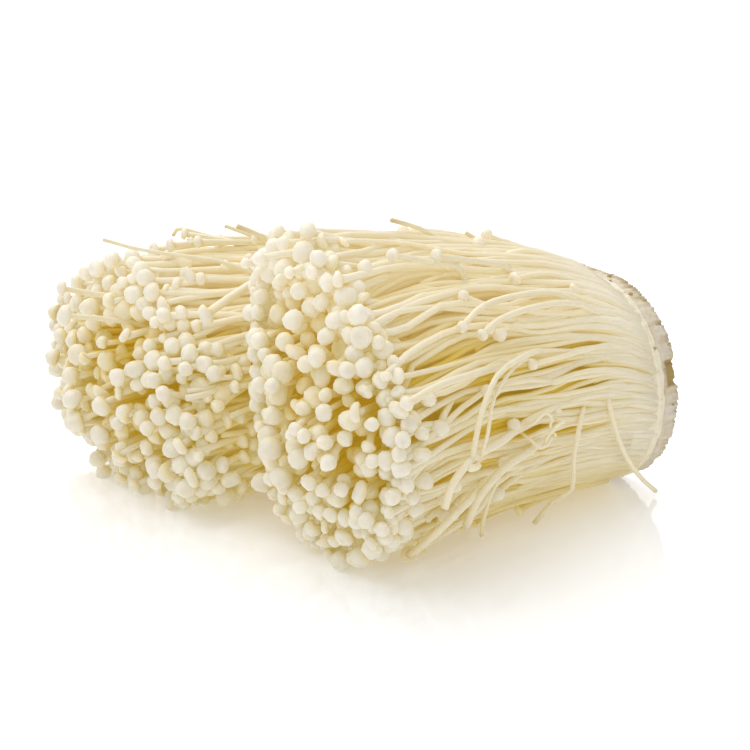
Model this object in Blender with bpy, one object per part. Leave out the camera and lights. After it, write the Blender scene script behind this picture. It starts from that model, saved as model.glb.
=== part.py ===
"""A bunch of enoki mushrooms lying on its side: thin pale mushrooms that grew from one cut base,
their heads parted into a front and a rear cluster.

Metres. +X points from the caps to the cut base, +Y to the rear cluster, +Z up. The bunch lies on
z = 0, and at the end the whole is moved so that its box stands centred on the origin.
"""

import math
import random

import bmesh
import bpy
from mathutils import Vector

# Cut base: an oblong cross-section, two rounds side by side, whose front round stands at y = 0
BASE_RADIUS = 0.0315
BASE_REACH = 0.025
BASE_END_X = 0.0015
BASE_LENGTH = 0.0145
SLAB_THICKNESS = 0.0045
BASE_SIDES_PER_ROUND = 26
BASE_SIDES_PER_FLAT = 5
EDGE_RAGGEDNESS = 0.0008

# Clusters: the stems flow from a root at the collar to a ring of caps, with a crown beyond it
ROOT_X = BASE_END_X - BASE_LENGTH
FRONT_RING = Vector((-0.112, -0.017, 0.0452))
FRONT_HALF_WIDTH = 0.038
FRONT_CROWN = 0.024
REAR_RING = Vector((-0.129, 0.067, 0.0368))
REAR_HALF_WIDTH = 0.0435
REAR_CROWN = 0.018
NODE_GAP = 0.0003

# Parting between the clusters: a vertical plane through these two (x, y)
PARTING_AT_BASE = (0.0, 0.013)
PARTING_AT_HEADS = (-0.120, 0.0215)

# Stems that show as ridges on each cluster's side
RIDGES = 38
RIDGE_DEPTH = 0.0024
RIDGE_STATIONS = (0.0, 0.12, 0.30, 0.50, 0.70, 0.86)
RIDGE_WANDER = 0.030
CORE_SHARE = 0.965

# Mushrooms that stand out of the cluster, larger than life so that they cover it
MUSHROOM_SIDES = 6
STEM_RADIUS = 0.0016
CAP_RADIUS = (0.0042, 0.0058)
CAP_HEIGHT_SHARE = 0.95
SHOULDER_WIDTH = 0.80
SHOULDER_HEIGHT = 0.68
ROOT_DEPTH = 0.21
CAP_DEPTH = 0.15
GOLDEN_ANGLE = math.pi * (3 - math.sqrt(5))
SMALL_CAP_RADIUS = 0.0024

CREAM = (0.86, 0.78, 0.56, 1.0)
IVORY = (0.87, 0.81, 0.68, 1.0)
STRAW = (0.80, 0.72, 0.52, 1.0)


def clear_scene():
    for obj in list(bpy.data.objects):
        bpy.data.objects.remove(obj)


def material(name, colour, roughness):
    made = bpy.data.materials.new(name)
    made.use_nodes = True
    shader = made.node_tree.nodes["Principled BSDF"]
    shader.inputs["Base Color"].default_value = colour
    shader.inputs["Roughness"].default_value = roughness
    shader.inputs["Metallic"].default_value = 0.0
    return made


def blend(start, end, share):
    return start + (end - start) * share


def parting_y(x):
    """Where the parting plane stands at x."""
    (x0, y0), (x1, y1) = PARTING_AT_BASE, PARTING_AT_HEADS
    return blend(y0, y1, (x - x0) / (x1 - x0))


class Cluster:
    """The flow of one cluster's stems. A stem keeps its place (rho, phi) in the cross-section while
    s runs from 0 at the collar to 1 at the ring of caps."""

    def __init__(self, name, root_y, ring, half_width, crown, side):
        self.name = name
        self.root_y = root_y
        self.ring = ring
        self.half_width = half_width
        self.crown = crown
        self.side = side

    def length(self):
        return ROOT_X - self.ring.x

    def half_height_at(self, s):
        return blend(BASE_RADIUS, self.ring.z, math.sqrt(s))

    def half_width_at(self, s):
        return blend(BASE_RADIUS, self.half_width, s)

    def kept_aside(self, point, margin):
        """The point, moved back to this cluster's side of the parting."""
        limit = parting_y(point.x) + self.side * (NODE_GAP / 2 + margin)
        y = max(point.y, limit) if self.side > 0 else min(point.y, limit)
        return Vector((point.x, y, point.z))

    def point(self, s, rho, phi, margin=0.0):
        x = ROOT_X - s * self.length()
        y = blend(self.root_y, self.ring.y, s**1.15)
        y += rho * self.half_width_at(s) * math.cos(phi)
        half_height = self.half_height_at(s)
        z = half_height + rho * half_height * math.sin(phi)
        return self.kept_aside(Vector((x, y, z)), margin)

    def end_of(self, rho):
        """How far a stem at rho reaches: the crown of caps bulges past the ring."""
        return 1.0 + self.crown * (1.0 - rho * rho) / self.length()


FRONT = Cluster("front_cluster", 0.0, FRONT_RING, FRONT_HALF_WIDTH, FRONT_CROWN, -1)
REAR = Cluster("rear_cluster", BASE_REACH, REAR_RING, REAR_HALF_WIDTH, REAR_CROWN, 1)


def close_tube(bm, rings, apex=None):
    """Skins equal rings of points in order, and closes both ends to a point: the first at its middle,
    the last at the apex if there is one."""
    loops = [[bm.verts.new(point) for point in ring] for ring in rings]
    count = len(loops[0])
    for lower, upper in zip(loops, loops[1:]):
        for i in range(count):
            j = (i + 1) % count
            bm.faces.new((lower[i], lower[j], upper[j], upper[i]))
    for loop, top, turn in ((loops[0], None, -1), (loops[-1], apex, 1)):
        middle = bm.verts.new(top or sum((v.co for v in loop), Vector()) / count)
        for i in range(count):
            bm.faces.new((loop[i], loop[(i + 1) % count], middle)[::turn])


def new_object(name, bm, colour_material):
    """An object of flat triangles, so that what a Boolean cuts is exactly what is seen."""
    bmesh.ops.triangulate(bm, faces=bm.faces)
    bmesh.ops.recalc_face_normals(bm, faces=bm.faces)
    mesh = bpy.data.meshes.new(name)
    bm.to_mesh(mesh)
    bm.free()
    mesh.materials.append(colour_material)
    obj = bpy.data.objects.new(name, mesh)
    bpy.context.scene.collection.objects.link(obj)
    return obj


def core(cluster, chance):
    """The body of a cluster: its side is raised into ridges, one for each stem that shows there."""
    wander = [chance.uniform(-1, 1) for _ in range(RIDGES)]
    rings = []
    for s in RIDGE_STATIONS:
        ring = []
        for i in range(2 * RIDGES):
            drift = wander[i // 2] * math.sin(math.pi * s * (1 + i % 3 / 2))
            phi = math.pi * (i + drift * RIDGE_WANDER * RIDGES) / RIDGES
            depth = RIDGE_DEPTH * (i % 2) * min(1.0, 0.35 + 2 * s)
            rho = CORE_SHARE - depth / cluster.half_height_at(s)
            ring.append(cluster.point(s, rho, phi))
        rings.append(ring)
    for rho in (0.84, 0.62, 0.30):
        s = cluster.end_of(rho) - CAP_DEPTH
        rings.append([cluster.point(s, rho, math.pi * i / RIDGES) for i in range(2 * RIDGES)])
    bm = bmesh.new()
    close_tube(bm, rings)
    return bm


def ring_round(centre, along, radius):
    """MUSHROOM_SIDES points round a stem whose line runs along the given direction."""
    across = along.cross(Vector((0.3, 0.2, 1.0))).normalized()
    upward = along.cross(across).normalized()
    turns = [2 * math.pi * i / MUSHROOM_SIDES for i in range(MUSHROOM_SIDES)]
    return [centre + radius * (math.cos(t) * across + math.sin(t) * upward) for t in turns]


def mushroom(bm, path, stem_radius, cap_radius):
    """A stem along the path's points and, unless the stem is bare, a round cap on its end."""
    rings = []
    for i, point in enumerate(path):
        ahead = path[min(i + 1, len(path) - 1)] - path[max(i - 1, 0)]
        rings.append(ring_round(point, ahead.normalized(), stem_radius))
    along = (path[-1] - path[-2]).normalized()
    height = cap_radius * CAP_HEIGHT_SHARE
    profile = ((cap_radius, 0.0), (cap_radius * SHOULDER_WIDTH, SHOULDER_HEIGHT * height))
    for radius, rise in profile if cap_radius else ():
        rings.append(ring_round(path[-1] + along * rise, along, radius))
    close_tube(bm, rings, path[-1] + along * height if cap_radius else None)


def head_mushrooms(cluster, chance, crown_count, side_count):
    """Caps all over the crown, laid out like the seeds of a sunflower, and a scatter behind its ring."""
    places = []
    for i in range(crown_count):
        rho = math.sqrt((i + 0.5) / crown_count)
        depth = (0.0, 0.055, 0.02)[i % 3]
        places.append((cluster.end_of(rho) - depth, rho, i * GOLDEN_ANGLE))
    for i in range(side_count):
        s = 0.84 + 0.13 * ((i * 0.618) % 1.0)
        places.append((s, 1.03, 2 * math.pi * (i + 0.5) / side_count))
    for s, rho, phi in places:
        cap_radius = chance.uniform(*CAP_RADIUS)
        tip = cluster.point(s, rho, phi + chance.uniform(-0.05, 0.05), cap_radius)
        tip.z = max(tip.z, 0.8 * cap_radius)
        root = cluster.point(s - ROOT_DEPTH, 0.93 * rho, phi, 2 * STEM_RADIUS)
        yield [root, tip], STEM_RADIUS, cap_radius


def side_mushrooms(cluster, chance, count):
    """Small stunted mushrooms that lie on the cluster's side."""
    for i in range(count):
        s = 0.22 + 0.56 * ((i * 0.618 + 0.3) % 1.0)
        phi = 2 * math.pi * (i + 0.3) / count
        tip = cluster.point(s, 1.07, phi + 0.03, SMALL_CAP_RADIUS)
        if tip.z > 0.006:
            root = cluster.point(s - 0.16, 0.95, phi, STEM_RADIUS)
            yield [root, tip], 0.8 * STEM_RADIUS, SMALL_CAP_RADIUS


# Long loose mushrooms, root first, in millimetres; a cap radius of 0 is a stem that broke off
FRONT_STRAYS = (
    (((-30, -20, 36), (-24, -32, 26), (-20, -33, 14), (-3, -26, 1.4)), 0.0),
    (((-46, -30, 58), (-70, -39, 55), (-82, -44, 47), (-89, -46, 36)), 3.0),
    (((-34, -24, 36), (-43, -34, 26), (-46, -36, 14), (-52, -30, 1.4)), 0.0),
    (((-66, -34, 34), (-82, -42, 20), (-94, -38, 6)), 3.4),
    (((-56, -32, 32), (-68, -38, 18), (-71, -32, 5)), 2.4),
    (((-52, -30, 26), (-64, -34, 10), (-69, -30, 1.4)), 0.0),
    (((-46, -2, 72), (-62, -3, 80), (-76, -4, 87), (-86, -5, 92)), 0.0),
    (((-24, 2, 63), (-40, 4, 72), (-54, 4, 81)), 0.0),
    (((-34, -20, 64), (-54, -28, 70), (-80, -32, 67)), 2.2),
    (((-78, -4, 78), (-95, -2, 85), (-112, -1, 90)), 3.4),
    (((-56, -14, 70), (-76, -13, 79)), 2.2),
)
REAR_STRAYS = (
    (((-92, 58, 64), (-122, 66, 71), (-138, 68, 78)), 0.0),
    (((-78, 40, 68), (-97, 44, 77), (-106, 46, 82)), 0.0),
    (((-84, 78, 62), (-102, 81, 70), (-112, 83, 74)), 2.4),
    (((-90, 68, 64), (-109, 73, 74)), 3.4),
    (((-96, 38, 66), (-114, 34, 66), (-128, 31, 62)), 3.4),
    (((-134, 56, 52), (-154, 60, 58)), 3.6),
)


def fuse(target, additions, name):
    """Joins the added shapes to the target in one Boolean."""
    group = bpy.data.collections.new(name)
    bpy.context.scene.collection.children.link(group)
    for obj in additions:
        bpy.context.scene.collection.objects.unlink(obj)
        group.objects.link(obj)
    union = target.modifiers.new("union", "BOOLEAN")
    union.operation = "UNION"
    union.solver = "MANIFOLD"
    union.operand_type = "COLLECTION"
    union.collection = group
    apply_modifiers(target)
    for obj in additions:
        bpy.data.objects.remove(obj)
    bpy.data.collections.remove(group)


def trim_below_surface(obj):
    """Flattens what would sink into the surface that the bunch lies on."""
    bm = bmesh.new()
    bmesh.ops.create_cube(bm, size=1.0)
    bmesh.ops.translate(bm, verts=bm.verts, vec=(0, 0, -0.5))
    cutter = new_object("surface_cutter", bm, obj.data.materials[0])
    cut = obj.modifiers.new("surface", "BOOLEAN")
    cut.operation = "DIFFERENCE"
    cut.solver = "MANIFOLD"
    cut.object = cutter
    apply_modifiers(obj)
    bpy.data.objects.remove(cutter)


def apply_modifiers(obj):
    graph = bpy.context.evaluated_depsgraph_get()
    mesh = bpy.data.meshes.new_from_object(obj.evaluated_get(graph))
    obj.modifiers.clear()
    obj.data = mesh


def keep_largest_shell(obj):
    """Drops every shell but the largest: loose scraps and sealed hollows."""
    bm = bmesh.new()
    bm.from_mesh(obj.data)
    unseen = set(bm.verts)
    shells = []
    while unseen:
        shell, edge_of_shell = set(), [unseen.pop()]
        while edge_of_shell:
            vert = edge_of_shell.pop()
            shell.add(vert)
            near = {e.other_vert(vert) for e in vert.link_edges} & unseen
            unseen -= near
            edge_of_shell.extend(near)
        shells.append(shell)
    largest = max(shells, key=len)
    bmesh.ops.delete(bm, geom=[v for v in bm.verts if v not in largest], context="VERTS")
    bm.to_mesh(obj.data)
    bm.free()


def build_cluster(cluster, seed, crown_count, side_count, stunted_count, strays, look):
    chance = random.Random(seed)
    body = new_object(cluster.name, core(cluster, chance), look)
    members = list(head_mushrooms(cluster, chance, crown_count, side_count))
    members += side_mushrooms(cluster, chance, stunted_count)
    for points, cap_radius in strays:
        members.append(([Vector(p) / 1000 for p in points], 0.75 * STEM_RADIUS, cap_radius / 1000))
    additions = []
    for number, (path, stem_radius, cap_radius) in enumerate(members):
        bm = bmesh.new()
        mushroom(bm, path, stem_radius, cap_radius)
        additions.append(new_object(f"{cluster.name}_{number}", bm, look))
    fuse(body, additions, f"{cluster.name}_members")
    trim_below_surface(body)
    keep_largest_shell(body)
    return body


def oblong_outline(radius):
    """The base's outline in (y, z): two half rounds joined by flats, resting on z = 0."""
    centre_z = BASE_RADIUS
    front = [math.radians(90 + 180 * i / BASE_SIDES_PER_ROUND) for i in range(BASE_SIDES_PER_ROUND + 1)]
    rear = [angle + math.pi for angle in front]
    points = [(radius * math.cos(t), centre_z + radius * math.sin(t)) for t in front]
    flat = [BASE_REACH * i / BASE_SIDES_PER_FLAT for i in range(1, BASE_SIDES_PER_FLAT)]
    points += [(y, centre_z - radius) for y in flat]
    points += [(BASE_REACH + radius * math.cos(t), centre_z + radius * math.sin(t)) for t in rear]
    points += [(BASE_REACH - y, centre_z + radius) for y in flat]
    return points


def build_base(look):
    """The fused foot of the stems: a collar, a raised rim, a groove, and the ragged cut slab."""
    chance = random.Random(5)
    rim = BASE_LENGTH - SLAB_THICKNESS
    stations = (
        (NODE_GAP, BASE_RADIUS - 0.0012, 0.0),
        (0.5 * rim, BASE_RADIUS - 0.0004, 0.3),
        (0.9 * rim, BASE_RADIUS, 0.4),
        (rim, BASE_RADIUS - 0.0011, 0.6),
        (rim + 0.0016, BASE_RADIUS, 1.0),
        (BASE_LENGTH - 0.0008, BASE_RADIUS - 0.0002, 1.0),
        (BASE_LENGTH, BASE_RADIUS - 0.0012, 0.5),
    )
    rings = []
    for along, radius, ragged in stations:
        ring = []
        for y, z in oblong_outline(radius):
            pull = 1.0 - ragged * chance.uniform(0.0, EDGE_RAGGEDNESS) / BASE_RADIUS * 2
            middle = min(max(y, 0.0), BASE_REACH)
            z = BASE_RADIUS + (z - BASE_RADIUS) * pull
            y = middle + (y - middle) * pull
            ring.append(Vector((ROOT_X + along, y, 0.0 if z < 0.0016 else z)))
        rings.append(ring)
    bm = bmesh.new()
    close_tube(bm, rings)
    return new_object("cut_base", bm, look)


def stand_on_origin(objects):
    """Moves the bunch so that its box is centred over the origin and rests on z = 0."""
    points = [v.co for obj in objects for v in obj.data.vertices]
    low = [min(p[axis] for p in points) for axis in range(3)]
    high = [max(p[axis] for p in points) for axis in range(3)]
    shift = Vector((-(low[0] + high[0]) / 2, -(low[1] + high[1]) / 2, -low[2]))
    for obj in objects:
        for vert in obj.data.vertices:
            vert.co += shift


def main():
    clear_scene()
    cream = material("cream_stems_and_caps", CREAM, 0.45)
    ivory = material("ivory_stems_and_caps", IVORY, 0.45)
    straw = material("straw_cut_base", STRAW, 0.8)
    made = [
        build_base(straw),
        build_cluster(FRONT, 11, 77, 16, 6, FRONT_STRAYS, ivory),
        build_cluster(REAR, 23, 70, 14, 5, REAR_STRAYS, cream),
    ]
    stand_on_origin(made)


main()
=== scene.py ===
"""Enoki mushroom bunch: the looks. Several hundred thin mushrooms are planted along the flow of two
clusters, from one cut base to two parted heads, and the bunch lies on a pale studio floor.

Lengths are metres. The bunch is laid out in its own frame, whose zero stands on the surface under the
base's front round, and is moved to the CAD frame as each piece is finished: +X to the cut base, +Y to
the rear cluster, +Z up.
"""

import math
import random

import bmesh
import bpy
from bpy.props import FloatProperty, FloatVectorProperty, IntProperty, PointerProperty
from mathutils import Matrix, Vector, kdtree, noise


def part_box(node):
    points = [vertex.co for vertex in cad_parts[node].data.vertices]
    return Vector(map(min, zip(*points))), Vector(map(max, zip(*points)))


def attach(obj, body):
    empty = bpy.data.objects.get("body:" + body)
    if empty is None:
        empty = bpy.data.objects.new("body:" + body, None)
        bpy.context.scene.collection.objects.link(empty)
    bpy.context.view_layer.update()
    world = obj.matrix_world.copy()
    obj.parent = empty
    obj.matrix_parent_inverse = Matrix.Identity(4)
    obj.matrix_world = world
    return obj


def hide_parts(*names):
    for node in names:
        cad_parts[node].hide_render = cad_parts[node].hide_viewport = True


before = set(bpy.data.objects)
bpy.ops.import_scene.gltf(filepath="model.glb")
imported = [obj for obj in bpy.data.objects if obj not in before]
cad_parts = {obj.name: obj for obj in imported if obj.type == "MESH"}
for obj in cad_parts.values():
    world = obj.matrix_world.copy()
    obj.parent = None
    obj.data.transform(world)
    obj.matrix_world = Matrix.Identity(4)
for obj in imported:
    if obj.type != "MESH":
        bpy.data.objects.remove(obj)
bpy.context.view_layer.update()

bl_info = {
    "name": "Enoki mushroom bunch",
    "version": (1, 0, 0),
    "blender": (4, 5, 0),
    "location": "3D View > Sidebar > Enoki",
    "description": "Builds a bunch of enoki mushrooms with its stage",
    "category": "Object",
}

BASE_LOW, BASE_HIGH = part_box("cut_base")
BASE_RADIUS = BASE_HIGH.z / 2
BASE_REACH = (BASE_HIGH.y - BASE_LOW.y) - BASE_HIGH.z
BASE_LENGTH = BASE_HIGH.x - BASE_LOW.x
BASE_END_X = 0.0015
ROOT_X = BASE_END_X - BASE_LENGTH
ZERO = Vector((BASE_HIGH.x - BASE_END_X, BASE_LOW.y + BASE_RADIUS, 0.0))

# Parting between the clusters: a vertical plane through these two (x, y)
PARTING_AT_BASE = (0.0, 0.013)
PARTING_AT_HEADS = (-0.120, 0.0215)
PARTING_SOFTNESS = 0.012

# The direction in the cross-section in which a cluster is pressed narrower where it rests
PRESSED_PHI = math.radians(246)

STEM_SIDES = 6
STEM_SEGMENTS = 12
CAP_SIDES = 12

# Shares of a stem's length at its rings, closer together towards the cap
STATIONS = tuple(1 - (1 - i / STEM_SEGMENTS) ** 1.35 for i in range(STEM_SEGMENTS + 1))
GOLDEN_ANGLE = math.pi * (3 - math.sqrt(5))

# Half outlines of caps of radius 1, from the middle of the underside to the top: (radius, height)
BALL_CAP = ((0, 0.0), (0.56, -0.16), (0.90, 0.10), (1.0, 0.52), (0.86, 0.96), (0.50, 1.30), (0, 1.44))
DOME_CAP = ((0, 0.06), (0.64, -0.14), (0.96, 0.02), (0.98, 0.40), (0.76, 0.80), (0.40, 1.05), (0, 1.12))
BUTTON_CAP = ((0, 0.10), (0.72, -0.08), (1.0, 0.06), (0.95, 0.38), (0.70, 0.64), (0.34, 0.76), (0, 0.78))
DIMPLED_CAP = ((0, 0.04), (0.74, -0.14), (1.0, 0.08), (0.97, 0.42), (0.70, 0.70), (0.36, 0.74), (0, 0.60))
CAP_KINDS = (BALL_CAP, BALL_CAP, BALL_CAP, DOME_CAP, DOME_CAP, BUTTON_CAP, DIMPLED_CAP)

# How deep under a cluster's surface the painted golden shade between stems comes to full strength: low
# on its side, on its top, at its end, and near the base
LOW_SIDE_DEPTH = 0.0018
TOP_SIDE_DEPTH = 0.010
END_DEPTH = 0.010
BASE_DEPTH = 0.0018

# Below about this height over the floor stems lie in their own golden shade, by up to this share
UNDERSIDE_HEIGHT = 0.014
UNDERSIDE_SHADE = 0.6

# Share of its stem's golden shade that a cap takes on
CAP_SHADE = 0.4

# Share of its colour, channel by channel, with which flesh at the surface gives off a painted glow
SKIN_GLOW = (0.87, 0.76, 0.24)

# How a cluster sags: (lean, sunken top, droop, pressed, far slope)
FRONT_SAG = (0.009, 0.12, 0.006, 0.12, 0.0)
REAR_SAG = (0.0, 0.0, 0.010, 0.0, 0.017)

# Where caps stand on a cluster's side: (lowest s in the field, lowest s elsewhere, the field's phi,
# crowding)
FRONT_FIELDS = (0.985, 1.00, math.radians(215), 0.10)
REAR_FIELDS = (0.78, 0.94, math.radians(195), 0.25)

# How strongly stems draw together in bundles, and how finely the bundles part round a cluster
BUNDLE_PULL = 0.075
BUNDLE_FINENESS = 11

# Stems on a cluster's side have grown together at FUSED_RHO, and part on their way to FUSED_UNTIL. They
# start inside the collar, at SKIN_ROOT
FUSED_RHO = 0.974
FUSED_UNTIL = 0.26
SKIN_ROOT = -0.05

# From MELTED_FROM down to the base, stems sink into the collar's flesh by ROOT_SLOPE
MELTED_FROM = 0.055
ROOT_SLOPE = 0.15

# In each round two caps that stand closer than CAP_SPACING of their radii each give way by PUSH_SHARE of
# what they lack
SETTLE_ROUNDS = 14
PUSH_SHARE = 0.3
CAP_SPACING = 0.92

# Widest share of the cross-section that a tip may reach
WIDEST_TIP = 1.06

# How far the ends of crowded mushrooms stray, and how deep a loose stem's root bends into its cluster
CROWD_BEND = 0.0032
ROOT_SINK = 0.007

# The ridged tube inside a cluster, and the s of its rings
CORE_RIDGES = 60
CORE_STATIONS = (0.02, 0.15, 0.30, 0.45, 0.60, 0.72, 0.82)

# The base: its cut face, its rim, the points round it, its crumbs, and the heights of its dark notch
CUT_X = BASE_END_X - 0.0020
RIM_X = CUT_X - 0.0060
OUTLINE_POINTS = 480
CRUMB_COUNT = 12
NOTCH_LOW = 0.0360
NOTCH_HIGH = 0.0440

# Rings of the collar: (x, inset, relief)
COLLAR_RINGS = (
    (ROOT_X - 0.009, 0.0060, 0.0004),
    (ROOT_X - 0.007, 0.0034, 0.0008),
    (ROOT_X - 0.004, 0.0012, 0.0012),
    (ROOT_X - 0.001, 0.0007, 0.0010),
    (ROOT_X + 0.002, 0.0004, 0.0008),
    (RIM_X - 0.0036, 0.0003, 0.0006),
    (RIM_X - 0.0032, 0.0002, 0.0005),
    (RIM_X - 0.0028, 0.0004, 0.0004),
    (RIM_X - 0.0024, 0.0001, 0.0003),
    (RIM_X - 0.0020, -0.0001, 0.0003),
    (RIM_X - 0.0016, -0.0002, 0.0003),
    (RIM_X - 0.0012, 0.0000, 0.0003),
    (RIM_X - 0.0009, 0.0002, 0.0003),
    (RIM_X - 0.0004, -0.0001, 0.0004),
    (RIM_X, 0.0000, 0.0003),
    (RIM_X + 0.0004, 0.0020, 0.0001),
)

# Rings of the slab: (x, inset, ragged, browned, spread)
SLAB_RINGS = (
    (RIM_X - 0.0004, 0.0034, 0.2, 0.2, 1.0),
    (RIM_X + 0.0001, 0.0008, 0.3, 0.2, 1.0),
    (RIM_X + 0.0007, 0.0003, 0.3, 0.05, 1.0),
    (RIM_X + 0.0018, 0.0001, 0.4, 0.1, 1.0),
    (RIM_X + 0.0030, 0.0002, 0.5, 0.1, 1.0),
    (RIM_X + 0.0042, 0.0000, 0.8, 0.15, 1.0),
    (CUT_X - 0.0009, 0.0000, 1.1, 0.35, 1.0),
    (CUT_X - 0.0003, 0.0001, 1.2, 0.55, 1.0),
    (CUT_X, 0.0010, 1.0, 0.4, 1.0),
    (CUT_X - 0.0001, 0.0010, 0.8, 0.25, 0.93),
    (CUT_X, 0.0010, 0.6, 0.15, 0.80),
    (CUT_X - 0.0003, 0.0010, 0.4, 0.1, 0.62),
    (CUT_X - 0.0001, 0.0010, 0.2, 0.1, 0.42),
    (CUT_X - 0.0003, 0.0010, 0.0, 0.1, 0.22),
    (CUT_X - 0.0002, 0.0010, 0.0, 0.1, 0.06),
)

# The studio's suns: (name, where it comes from, strength, spread in degrees)
SUNS = (
    ("key", (-0.35, 0.25, 1.0), 1.22, 60),
    ("back", (0.35, 1.0, 0.9), 0.86, 60),
    ("fill", (-0.5, -1.0, 0.55), 0.24, 70),
)
WORLD_STRENGTH = 0.63
FLOOR_GLOW = 0.25

CAMERA_AZIMUTH = math.radians(-33)
CAMERA_ELEVATION = math.radians(17.5)
CAMERA_DISTANCE = 0.700
CAMERA_TARGET = Vector((-0.07397, 0.02196, 0.03767))
PIXELS_PER_METRE = 3350
PHOTO_WIDTH = 750
SENSOR_WIDTH = 36.0


def millimetres(*points):
    return [Vector(point) / 1000 for point in points]


# Sizes and colours


class ENOKI_PG_bunch(bpy.types.PropertyGroup):
    """Sizes of the bunch and of its mushrooms."""

    front_ring: FloatVectorProperty(
        name="Front ring", description="Centre of the front head's ring of caps",
        default=(-0.112, -0.017, 0.0452), subtype="TRANSLATION", unit="LENGTH")
    front_half_width: FloatProperty(
        name="Front half width", description="Half the front head's width",
        default=0.038, unit="LENGTH")
    front_crown: FloatProperty(
        name="Front crown", description="How far the front head bulges past its ring",
        default=0.018, unit="LENGTH")
    rear_ring: FloatVectorProperty(
        name="Rear ring", description="Centre of the rear head's ring of caps",
        default=(-0.129, 0.067, 0.0368), subtype="TRANSLATION", unit="LENGTH")
    rear_half_width: FloatProperty(
        name="Rear half width", description="Half the rear head's width",
        default=0.0435, unit="LENGTH")
    rear_crown: FloatProperty(
        name="Rear crown", description="How far the rear head bulges past its ring",
        default=0.018, unit="LENGTH")
    stem_radius: FloatProperty(
        name="Stem radius", description="Middle radius of a stem",
        default=0.00102, unit="LENGTH", precision=5)
    small_cap: FloatProperty(
        name="Small cap radius", description="Radius of the smallest caps",
        default=0.0016, unit="LENGTH", precision=5)
    large_cap: FloatProperty(
        name="Large cap radius", description="Radius of the largest caps",
        default=0.0034, unit="LENGTH", precision=5)
    head_count: IntProperty(
        name="Mushrooms in a head", description="Mushrooms whose caps make one head",
        default=250, min=10)
    side_count: IntProperty(
        name="Mushrooms on a side", description="Mushrooms that run along one cluster's side",
        default=300, min=0)
    short_count: IntProperty(
        name="Short mushrooms", description="Mushrooms that end part of the way along the side",
        default=45, min=0)
    field_count: IntProperty(
        name="Mushrooms in a field", description="Mushrooms whose caps crowd the near side of one head",
        default=90, min=0)
    over_count: IntProperty(
        name="Long mushrooms", description="Mushrooms on top of the front cluster that reach past its head",
        default=8, min=0)
    hanging_count: IntProperty(
        name="Hanging mushrooms", description="Mushrooms whose ends hang off the front cluster's low side",
        default=16, min=0)
    strand_count: IntProperty(
        name="Strands", description="Thin stems without a cap that lie over the foot of one cluster",
        default=210, min=0)


class ENOKI_PG_colours(bpy.types.PropertyGroup):
    """Colours of the mushrooms, the cut base and the floor."""

    cap: FloatVectorProperty(
        name="Cap", description="Skin of the caps",
        default=(0.70, 0.695, 0.715), subtype="COLOR", min=0, max=1)
    stem: FloatVectorProperty(
        name="Stem", description="Middle of the stems",
        default=(0.79, 0.735, 0.605), subtype="COLOR", min=0, max=1)
    foot: FloatVectorProperty(
        name="Stem foot", description="Stems where they grow together",
        default=(0.78, 0.745, 0.685), subtype="COLOR", min=0, max=1)
    # Painted golden shade: the colour flesh takes deep in the gaps, under caps and near the floor
    depth: FloatVectorProperty(
        name="Depth", description="Flesh deep inside the bunch",
        default=(0.67, 0.49, 0.06), subtype="COLOR", min=0, max=1)
    # Painted glow, given off where flesh lies deep in painted shade
    glow: FloatVectorProperty(
        name="Glow", description="Light that comes through the flesh from all round",
        default=(0.66, 0.49, 0.04), subtype="COLOR", min=0, max=1)
    # Painted glow, given off near the top of the bunch
    top_glow: FloatVectorProperty(
        name="Top glow", description="Light from above that comes through the flesh near the top",
        default=(1.0, 0.86, 0.47), subtype="COLOR", min=0, max=1)
    browned: FloatVectorProperty(
        name="Browned", description="Dried tips and wounds",
        default=(0.38, 0.22, 0.07), subtype="COLOR", min=0, max=1)
    slab: FloatVectorProperty(
        name="Slab", description="Cut slab behind the rim",
        default=(0.90, 0.78, 0.53), subtype="COLOR", min=0, max=1)
    slab_edge: FloatVectorProperty(
        name="Slab edge", description="Dried edge of the slab",
        default=(0.42, 0.29, 0.10), subtype="COLOR", min=0, max=1)
    floor: FloatVectorProperty(
        name="Floor", description="Studio floor",
        default=(0.84, 0.845, 0.855), subtype="COLOR", min=0, max=1)


# The flow of the stems


def blend(start, end, share):
    return start + (end - start) * share


def clamp(value):
    return min(1.0, max(0.0, value))


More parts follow.
